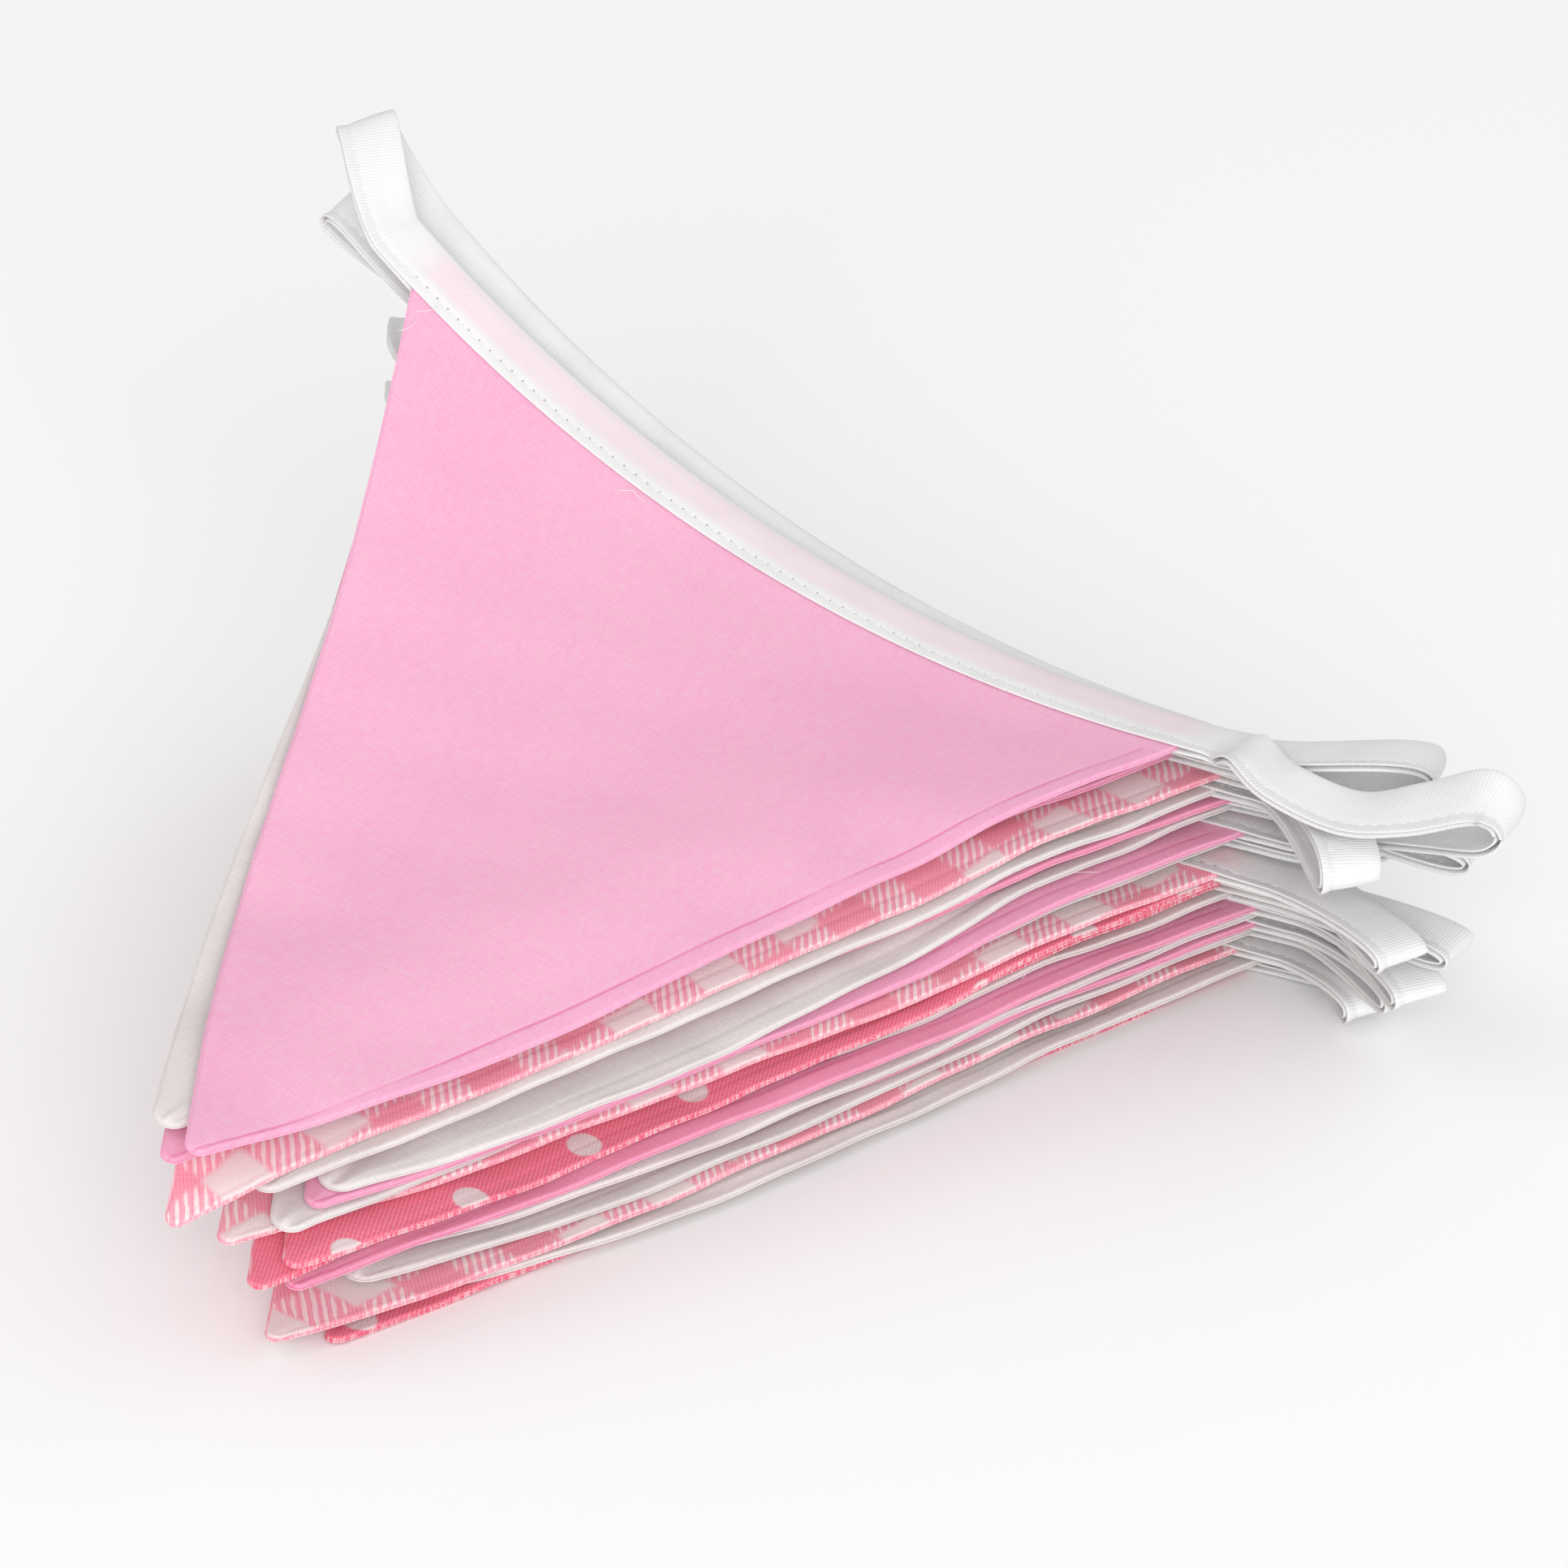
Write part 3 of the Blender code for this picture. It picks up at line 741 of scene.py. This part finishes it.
def tapeCorner(layer, side):
    end = side * (pile["width"] / 2 + tape["pastCorner"] * mm)
    centre, length, width = tapeFrame(layer, np.array([end]))
    return centre[0], length[0] * side, width[0]


def toTheBack(heading):
    square = unit(np.cross(up, heading))
    return square if square[1] > 0 else -square


def bezier(points, share):
    share = share[:, None]
    rest = 1.0 - share
    first, second, third, fourth = points
    return rest**3 * first + 3 * rest**2 * share * second + 3 * rest * share**2 * third + share**3 * fourth


def loopPath(start, finish, row):
    reach, side, rise, belly, lean = row
    startAt, startOut, startWidth = start
    finishAt, finishOut, finishWidth = finish
    out = unit(np.array([startOut[0], startOut[1], 0.0]))
    middle = (startAt + finishAt) / 2
    end = middle + (out * reach + toTheBack(out) * side + up * rise) * mm
    heading = unit(end - middle)
    backward = toTheBack(heading)
    upright = np.cross(heading, backward)
    upright = -upright if upright[2] < 0 else upright
    leaning = radians(lean)
    turnUp = upright * cos(leaning) + backward * sin(leaning)
    turnWidth = backward * cos(leaning) - upright * sin(leaning)
    neck = reach * mm * tape["neck"]
    first = (startAt, startAt + startOut * neck, end + turnUp * belly * mm, end)
    second = (finishAt, finishAt + finishOut * neck, end - turnUp * belly * mm, end)
    shares = np.linspace(0, 1, tape["loopSteps"] + 1)[1:]
    blend = ease(shares, 0, 1)[:, None]
    centres = np.concatenate((bezier(first, shares), bezier(second, shares[:-1][::-1])))
    leaving = startWidth * (1 - blend) + turnWidth * blend
    coming = finishWidth * (1 - blend) + turnWidth * blend
    return centres, np.concatenate((leaving, coming[:-1][::-1]))


def tailPath(corner, points, steps=7):
    at, out, width = corner
    level = unit(np.array([out[0], out[1], 0.0]))
    backward = toTheBack(level)
    rows = np.array([(0, 0, 0, 0)] + list(points), float)
    dense = smoothRows(rows, steps)[1:]
    centres = at + (level * dense[:, :1] + backward * dense[:, 1:2] + up * dense[:, 2:3]) * mm
    leans = np.radians(dense[:, 3:4])
    return centres, backward * np.cos(leans) - up * np.sin(leans)


def smoothRows(rows, steps):
    # a smooth curve through the rows
    padded = np.concatenate((rows[:1] * 2 - rows[1:2], rows, rows[-1:] * 2 - rows[-2:-1]))
    dense = []
    for i in range(1, len(padded) - 2):
        before, here, there, after = padded[i - 1 : i + 3]
        for step in range(steps):
            t = step / steps
            dense.append(
                0.5
                * (
                    2 * here
                    + (there - before) * t
                    + (2 * before - 5 * here + 4 * there - after) * t**2
                    + (3 * here - before - 3 * there + after) * t**3
                )
            )
    dense.append(rows[-1])
    return np.array(dense)


def tapePath():
    centres, widths, inside, cloths = [], [], [], []

    def add(points, across, full, cloth):
        centres.append(points)
        widths.append(across)
        inside.append(np.broadcast_to(full, len(points)))
        cloths.append(np.broadcast_to(cloth, len(points)))

    points, across = tailPath(tapeCorner(layers - 1, 1), topTail)
    add(points[::-1], across[::-1], 0.0, -1)
    straight = pile["width"] / 2 + tape["pastCorner"] * mm
    for step in range(layers):
        layer = layers - 1 - step
        direction = -1 if step % 2 == 0 else 1
        along = np.linspace(-straight, straight, tape["layerSteps"]) * direction
        centre, length, width = tapeFrame(layer, along)
        full = 1 - ease(np.abs(along), pile["width"] / 2 - 1 * mm, pile["width"] / 2 + 4 * mm)
        add(centre, width, full, step)
        if layer > 0:
            rows = rightLoops if direction > 0 else leftLoops
            ends = tapeCorner(layer, direction), tapeCorner(layer - 1, direction)
            points, across = loopPath(*ends, rows[step // 2])
            add(points[:-1], across[:-1], 0.0, -1)
    points, across = tailPath(tapeCorner(0, 1), lowTail, 3)
    add(points, across, 0.0, -1)
    return [np.concatenate(each) for each in (centres, widths, inside, cloths)]


def pathTangents(centres):
    into = np.diff(centres, axis=0)
    lengths = np.linalg.norm(into, axis=1, keepdims=True)
    ways = into / np.maximum(lengths, 1e-9)
    weighted = ways / np.maximum(lengths, 1e-9)
    tangents = np.concatenate((ways[:1], unit(weighted[:-1] + weighted[1:]), ways[-1:]))
    return tangents, np.concatenate(([0.0], np.cumsum(lengths[:, 0])))


def tapeMaterial():
    made, tree, shader = newMaterial("white tape", 0.8)
    place = clothPlace(tree)
    x, y, z = node(tree, "ShaderNodeSeparateXYZ", {0: place}).outputs
    ribs = waves(tree, y, tape["ribs"])
    grain = threads(tree, place, 1500, 4000)
    heights = maths(tree, "MULTIPLY_ADD", ribs, 1.2, grain)
    patches = threads(tree, place, 120, 60)
    colour = blendColours(tree, smoothStep(tree, patches, 0.35, 0.7), tape["colour"], tape["shade"])
    colour = blendColours(tree, maths(tree, "MULTIPLY", ribs, tape["ribShade"]), colour, tape["ribColour"])
    under = node(tree, "ShaderNodeAttribute", attribute_name="under")
    colour = blendColours(tree, under.outputs["Alpha"], colour, under.outputs["Color"])
    # painted shade: dark dots in the stitch holes along the stitch line, weaker where the tape holds no
    # cloth
    stitched = attribute(tree, "stitchLine")
    cell = maths(tree, "FRACT", maths(tree, "MULTIPLY", y, 1 / (tape["stitchPitch"] * mm)))
    alongHole = maths(tree, "MULTIPLY", maths(tree, "SUBTRACT", cell, 0.5), tape["stitchPitch"] * mm)
    away = maths(
        tree,
        "SQRT",
        maths(tree, "ADD", maths(tree, "POWER", alongHole, 2.0), maths(tree, "POWER", stitched, 2.0)),
    )
    held = attribute(tree, "held")
    holeShade = maths(tree, "MULTIPLY", smoothStep(tree, away, 0.00012, 0.00036, 0.75, 0.0), held)
    colour = blendColours(tree, holeShade, colour, tape["holeShade"])
    finishCloth(tree, shader, colour, heights, 0.4, 0.00012)
    return made


def makeTape():
    centres, widths, inside, cloths = tapePath()
    tangents, lengths = pathTangents(centres)
    across = unit(widths - tangents * np.sum(widths * tangents, axis=1, keepdims=True))
    normals = np.cross(tangents, across)
    half = pile["tapeWidth"] / 2 / mm
    stitch = half - tape["stitchFromFold"]
    outerAt = np.array([-half, *tape["outerToStitch"], stitch, *tape["outerToFold"], half])
    innerAt = np.array([-half, -5.2, stitch, *tape["inner"], half - tape["ply"]])

    def halfGap(at, full, ends):
        gap = tape["free"] + (tape["overFlag"] - tape["free"]) * full[:, None]
        gap = gap + tape["puff"] * np.exp(-(((at - tape["puffAt"]) / tape["puffSpread"]) ** 2))[None, :]
        gap = gap - tape["pinch"] * np.exp(-(((at - stitch) / tape["pinchSpread"]) ** 2))[None, :]
        rounded = np.maximum((at - tape["roundFrom"]) / (ends - tape["roundFrom"]), 0.0)
        return gap, np.sqrt(np.maximum(1 - rounded**2, 0.0))[None, :]

    gape = tape["gape"] * (1 - inside)[:, None] * ease(-outerAt, -stitch, half)[None, :]
    gap, closing = halfGap(outerAt, inside, half)
    outer = (gap + gape + tape["ply"]) * closing
    gape = tape["gape"] * (1 - inside)[:, None] * ease(-innerAt, -stitch, half)[None, :]
    gap, closing = halfGap(innerAt, inside, half - tape["ply"])
    inner = (gap + gape) * closing
    ringA = np.concatenate((outerAt, outerAt[-2::-1], innerAt, innerAt[-2::-1]))
    ringB = np.concatenate((outer, -outer[:, -2::-1], -inner, inner[:, -2::-1]), axis=1)
    count, size = ringB.shape
    points = (
        centres[:, None, :]
        + across[:, None, :] * (ringA * mm)[None, :, None]
        + normals[:, None, :] * (ringB * mm)[:, :, None]
    )
    faces = []
    for ring in range(count - 1):
        for p in range(size):
            q = (p + 1) % size
            faces.append((ring * size + p, ring * size + q, (ring + 1) * size + q, (ring + 1) * size + p))
    outerSize = len(outerAt) * 2 - 1
    innerSize = len(innerAt) * 2 - 1
    for ring, turned in ((0, False), (count - 1, True)):
        # the cut end: a strip between the outer and the inner outline
        base = ring * size
        o, i = 0, size - 1
        strip = []
        while o < outerSize - 1 or i > outerSize:
            if i > outerSize and (size - 1 - i) / (innerSize - 1) <= o / (outerSize - 1):
                strip.append((base + o, base + i - 1, base + i))
                i -= 1
            else:
                strip.append((base + o, base + o + 1, base + i))
                o += 1
        faces += [face[::-1] for face in strip] if turned else strip
    around = np.concatenate(([0.0], np.cumsum(np.abs(np.diff(ringA))))) * mm
    pairs = np.stack(np.broadcast_arrays(around[None, :], lengths[:, None]), axis=-1)
    piece = meshPiece("tape", points.reshape(-1, 3), faces, tapeMaterial())
    flatCoordinates(piece.data, pairs.reshape(-1, 2))
    shows = {"pink": pinkCloth["colour"], "gingham": ginghamCloth["pink"], "dotted": dottedCloth["ground"]}
    tints = np.zeros((count, size, 4))
    tints[..., :3] = tape["colour"][:3]
    outside = np.arange(size) < outerSize
    covered = ease(ringA, -3.4, -0.6) * (1 - ease(ringA, 4.3, 5.4)) * outside
    for step, row in enumerate(flagRows):
        if row.cloth in shows:
            here = cloths == step
            tints[here, :, :3] = shows[row.cloth][:3]
            tints[here, :, 3] = tape["showsThrough"] * inside[here][:, None] * covered[None, :]
    pointValues(piece.data, "under", tints.reshape(-1, 4))
    fromLine = np.where(outside, np.abs(ringA - stitch), 9.0) * mm
    pointValues(piece.data, "stitchLine", np.tile(fromLine, count))
    pointValues(piece.data, "held", np.repeat(0.15 + 0.85 * inside, size))
    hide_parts("binding_tape")
    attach(piece, "root")
    column = int(np.argmin(np.abs(outerAt - stitch)))
    print("tape made:", round(float(lengths[-1]), 3), "m")
    return [(points[:, column], normals), (points[:, outerSize - 1 - column], -normals)]


stitchLines = makeTape()


# what follows a path: the stitches, the frayed edges and the loose threads

sewing = {
    "stitch": (0.00080, 0.00013, 0.00009),
    "spread": 0.22,
    "uneven": 0.15,
    "thread": (0.800, 0.800, 0.790, 1.0),
    "seed": 4,
}
frays = {
    "pitch": 0.0014,
    "length": 0.0011,
    "width": 0.00004,
    "spread": 1.2,
    "uneven": 0.6,
    "flags": (4, 10, 11, 12, 18, 20),
    "colour": (0.860, 0.700, 0.700, 1.0),
    "seed": 9,
}


# flag, along the tape, down from it, heading, length and bend (mm and degrees)
looseThreads = [
    (1, -87.0, 3.0, 25.0, 6.0, 70.0),
    (1, -85.5, 4.0, -70.0, 5.0, -60.0),
    (1, -33.0, 0.5, -55.0, 5.0, 80.0),
    (1, -31.5, 0.5, -110.0, 4.0, -50.0),
    (8, 66.0, 32.0, 10.0, 9.0, 50.0),
    (14, 62.0, 40.0, -35.0, 7.0, -70.0),
]
threadTube = {"radius": 0.00006, "lift": 0.0007, "steps": 12, "colour": (0.86, 0.84, 0.83, 1.0)}


def threadMaterial(name, colour):
    made, tree, shader = newMaterial(name, 0.8)
    shader.inputs["Base Color"].default_value = colour
    return made


def pathPiece(name, lines):
    points, edges, normals = [], [], []
    for line, ups in lines:
        first = len(points)
        points += [tuple(p) for p in line]
        normals += [tuple(n) for n in ups]
        edges += [(first + i, first + i + 1) for i in range(len(line) - 1)]
    mesh = bpy.data.meshes.new(name)
    mesh.from_pydata(points, edges, [])
    layer = mesh.attributes.new("upward", "FLOAT_VECTOR", "POINT")
    layer.data.foreach_set("vector", np.asarray(normals, dtype=np.float32).ravel())
    piece = bpy.data.objects.new(name, mesh)
    scene.collection.objects.link(piece)
    return piece


def newTree(name, inputs):
    tree = bpy.data.node_groups.new(name, "GeometryNodeTree")
    tree.interface.new_socket("Geometry", in_out="INPUT", socket_type="NodeSocketGeometry")
    for label, value in inputs.items():
        kind = "NodeSocketInt" if isinstance(value, int) else "NodeSocketFloat"
        socket = tree.interface.new_socket(label, in_out="INPUT", socket_type=kind)
        socket.default_value = value
    tree.interface.new_socket("Geometry", in_out="OUTPUT", socket_type="NodeSocketGeometry")
    return tree, tree.nodes.new("NodeGroupInput"), tree.nodes.new("NodeGroupOutput")


def coloured(tree, made, material, end):
    real = node(tree, "GeometryNodeRealizeInstances", {0: made.outputs[0]})
    painted = node(tree, "GeometryNodeSetMaterial", {"Geometry": real.outputs[0], "Material": material})
    tree.links.new(painted.outputs[0], end.inputs[0])


def scatterTree(name, inputs, shape, material, uneven):
    # shapes set along a path, turned with it and standing on its upward direction
    tree, start, end = newTree(name, inputs)
    curve = node(tree, "GeometryNodeMeshToCurve", {0: start.outputs["Geometry"]})
    pitch = {"Curve": curve.outputs[0], "Length": start.outputs["Pitch"]}
    spaced = node(tree, "GeometryNodeResampleCurve", pitch, mode="LENGTH")
    tangent = node(tree, "GeometryNodeInputTangent")
    upward = node(tree, "GeometryNodeInputNamedAttribute", {"Name": "upward"}, data_type="FLOAT_VECTOR")
    level = node(tree, "FunctionNodeAlignRotationToVector", {"Vector": tangent.outputs[0]}, axis="X")
    stood = node(
        tree,
        "FunctionNodeAlignRotationToVector",
        {"Rotation": level.outputs[0], "Vector": upward.outputs[0]},
        axis="Z",
        pivot_axis="X",
    )
    spread = start.outputs["Spread"]
    negative = node(tree, "ShaderNodeMath", {0: spread, 1: -1.0}, operation="MULTIPLY").outputs[0]
    seed = start.outputs["Seed"]
    spin = node(tree, "FunctionNodeRandomValue", {2: negative, 3: spread, "Seed": seed}, data_type="FLOAT")
    turned = node(tree, "ShaderNodeCombineXYZ", {2: spin.outputs[1]})
    turning = node(tree, "FunctionNodeEulerToRotation", {0: turned.outputs[0]})
    both = node(
        tree,
        "FunctionNodeRotateRotation",
        {"Rotation": stood.outputs[0], "Rotate By": turning.outputs[0]},
        rotation_space="LOCAL",
    )
    sizes = {2: 1.0 - uneven, 3: 1.0 + uneven, "Seed": seed}
    size = node(tree, "FunctionNodeRandomValue", sizes, data_type="FLOAT")
    places = {
        "Points": spaced.outputs[0],
        "Instance": shape(tree),
        "Rotation": both.outputs[0],
        "Scale": size.outputs[1],
    }
    placed = node(tree, "GeometryNodeInstanceOnPoints", places)
    coloured(tree, placed, material, end)
    return tree


def grown(piece, tree, inputs, material):
    # the nodes' result as a plain mesh in place of the path
    modifier = piece.modifiers.new(tree.name, "NODES")
    modifier.node_group = tree
    sockets = {item.name: item.identifier for item in tree.interface.items_tree if item.in_out == "INPUT"}
    for label, value in inputs.items():
        modifier[sockets[label]] = value
    ready = piece.evaluated_get(bpy.context.evaluated_depsgraph_get())
    mesh = bpy.data.meshes.new_from_object(ready)
    piece.modifiers.clear()
    mesh.name = piece.name
    piece.data = mesh
    if material.name not in [slot.name for slot in mesh.materials if slot]:
        mesh.materials.append(material)
    mesh.shade_smooth()
    return len(mesh.polygons)


def makeStitches():
    material = threadMaterial("sewing thread", sewing["thread"])
    piece = pathPiece("stitches", stitchLines)

    def bead(tree):
        ball = node(tree, "GeometryNodeMeshUVSphere", {"Segments": 6, "Rings": 4, "Radius": 1.0})
        shaped = {"Geometry": ball.outputs[0], "Scale": sewing["stitch"]}
        return node(tree, "GeometryNodeTransform", shaped).outputs[0]

    inputs = {"Pitch": tape["stitchPitch"] * mm, "Spread": sewing["spread"], "Seed": sewing["seed"]}
    tree = scatterTree("stitches along the tape", inputs, bead, material, sewing["uneven"])
    count = grown(piece, tree, inputs, material)
    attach(piece, "root")
    print("stitches made:", count, "faces")


def makeFrays():
    material = threadMaterial("frayed thread", frays["colour"])
    piece = pathPiece("frays", [frontEdges[number - 1] for number in frays["flags"]])

    def lying(tree):
        size = {"Vertices": 4, "Radius": frays["width"], "Depth": frays["length"]}
        stick = node(tree, "GeometryNodeMeshCylinder", size)
        laid = {"Geometry": stick.outputs[0], "Rotation": (radians(90), 0.0, radians(180))}
        return node(tree, "GeometryNodeTransform", laid).outputs[0]

    inputs = {"Pitch": frays["pitch"], "Spread": frays["spread"], "Seed": frays["seed"]}
    tree = scatterTree("frays along the edges", inputs, lying, material, frays["uneven"])
    count = grown(piece, tree, inputs, material)
    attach(piece, "root")
    print("frays made:", count, "faces")


def makeLooseThreads():
    material = threadMaterial("loose thread", threadTube["colour"])
    lines = []
    for number, along, down, heading, length, bend in looseThreads:
        shares = np.linspace(0, 1, threadTube["steps"])
        ways = np.radians(heading + bend * shares)
        run = np.stack((np.cos(ways), np.sin(ways)), axis=-1) * length / threadTube["steps"]
        spots = (np.array([along, -down]) + np.cumsum(run, axis=0)) * mm
        base = clothPoint(layers - number, spots[:, 0], topEdge + spots[:, 1])
        ups = clothNormal(layers - number, spots[:, 0], topEdge + spots[:, 1])
        lift = pile["cloth"] / 2 + threadTube["lift"] * (0.6 + np.sin(pi * shares))
        lines.append((base + ups * lift[:, None], ups))
    piece = pathPiece("loose_threads", lines)
    inputs = {"Radius": threadTube["radius"]}
    tree, start, end = newTree("threads as tubes", inputs)
    curve = node(tree, "GeometryNodeMeshToCurve", {0: start.outputs["Geometry"]})
    circle = {"Resolution": 5, "Radius": start.outputs["Radius"]}
    profile = node(tree, "GeometryNodeCurvePrimitiveCircle", circle)
    sweep = {0: curve.outputs[0], 1: profile.outputs[0], "Fill Caps": True}
    tube = node(tree, "GeometryNodeCurveToMesh", sweep)
    coloured(tree, tube, material, end)
    count = grown(piece, tree, inputs, material)
    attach(piece, "root")
    print("loose threads made:", count, "faces")


makeStitches()
makeFrays()
makeLooseThreads()

# the floor, the light and the camera

studio = {
    "floor": (0.97, 0.97, 0.97, 1.0),
    "world": 0.66,
    "lights": (
        ("key", (-1.65, -1.25, 3.70), 2.7, 20.0),
        ("front", (2.25, -3.35, 1.45), 3.3, 150.0),
        ("back", (0.6, 3.7, 2.65), 2.4, 9.0),
    ),
    "aim": (0.0062, 0.0953, 0.03),
    "turn": 30.3,
    "rise": 28.0,
    "distance": 1.3,
    "lens": 152.4,
    "floorHalf": 6.0,
    "floorDown": 0.0002,
}


def makeStudio():
    made, tree, shader = newMaterial("floor", 0.9)
    shader.inputs["Base Color"].default_value = studio["floor"]
    half, down = studio["floorHalf"], -studio["floorDown"]
    corners = [(-half, -half, down), (half, -half, down), (half, half, down), (-half, half, down)]
    floor = meshPiece("floor", corners, [(0, 1, 2, 3)], made)
    world = bpy.data.worlds.new("studio")
    world.use_nodes = True
    world.node_tree.nodes["Background"].inputs["Color"].default_value = (1.0, 1.0, 1.0, 1.0)
    world.node_tree.nodes["Background"].inputs["Strength"].default_value = studio["world"]
    scene.world = world
    aim = Vector(studio["aim"])
    for name, place, size, power in studio["lights"]:
        lamp = bpy.data.lights.new(name, "AREA")
        lamp.size = size
        lamp.energy = power
        stand = bpy.data.objects.new(name, lamp)
        stand.location = place
        stand.rotation_euler = (aim - Vector(place)).to_track_quat("-Z", "Y").to_euler()
        scene.collection.objects.link(stand)
    turn, rise = radians(studio["turn"]), radians(studio["rise"])
    back = Vector((sin(turn) * cos(rise), -cos(turn) * cos(rise), sin(rise)))
    optics = bpy.data.cameras.new("camera")
    optics.lens = studio["lens"]
    optics.sensor_width = 36.0
    optics.clip_start = 0.01
    optics.clip_end = 50.0
    camera = bpy.data.objects.new("camera", optics)
    camera.location = aim + back * studio["distance"]
    camera.rotation_euler = (-back).to_track_quat("-Z", "Y").to_euler()
    scene.collection.objects.link(camera)
    scene.camera = camera


makeStudio()
scene.view_settings.view_transform = "Standard"
print("studio made")
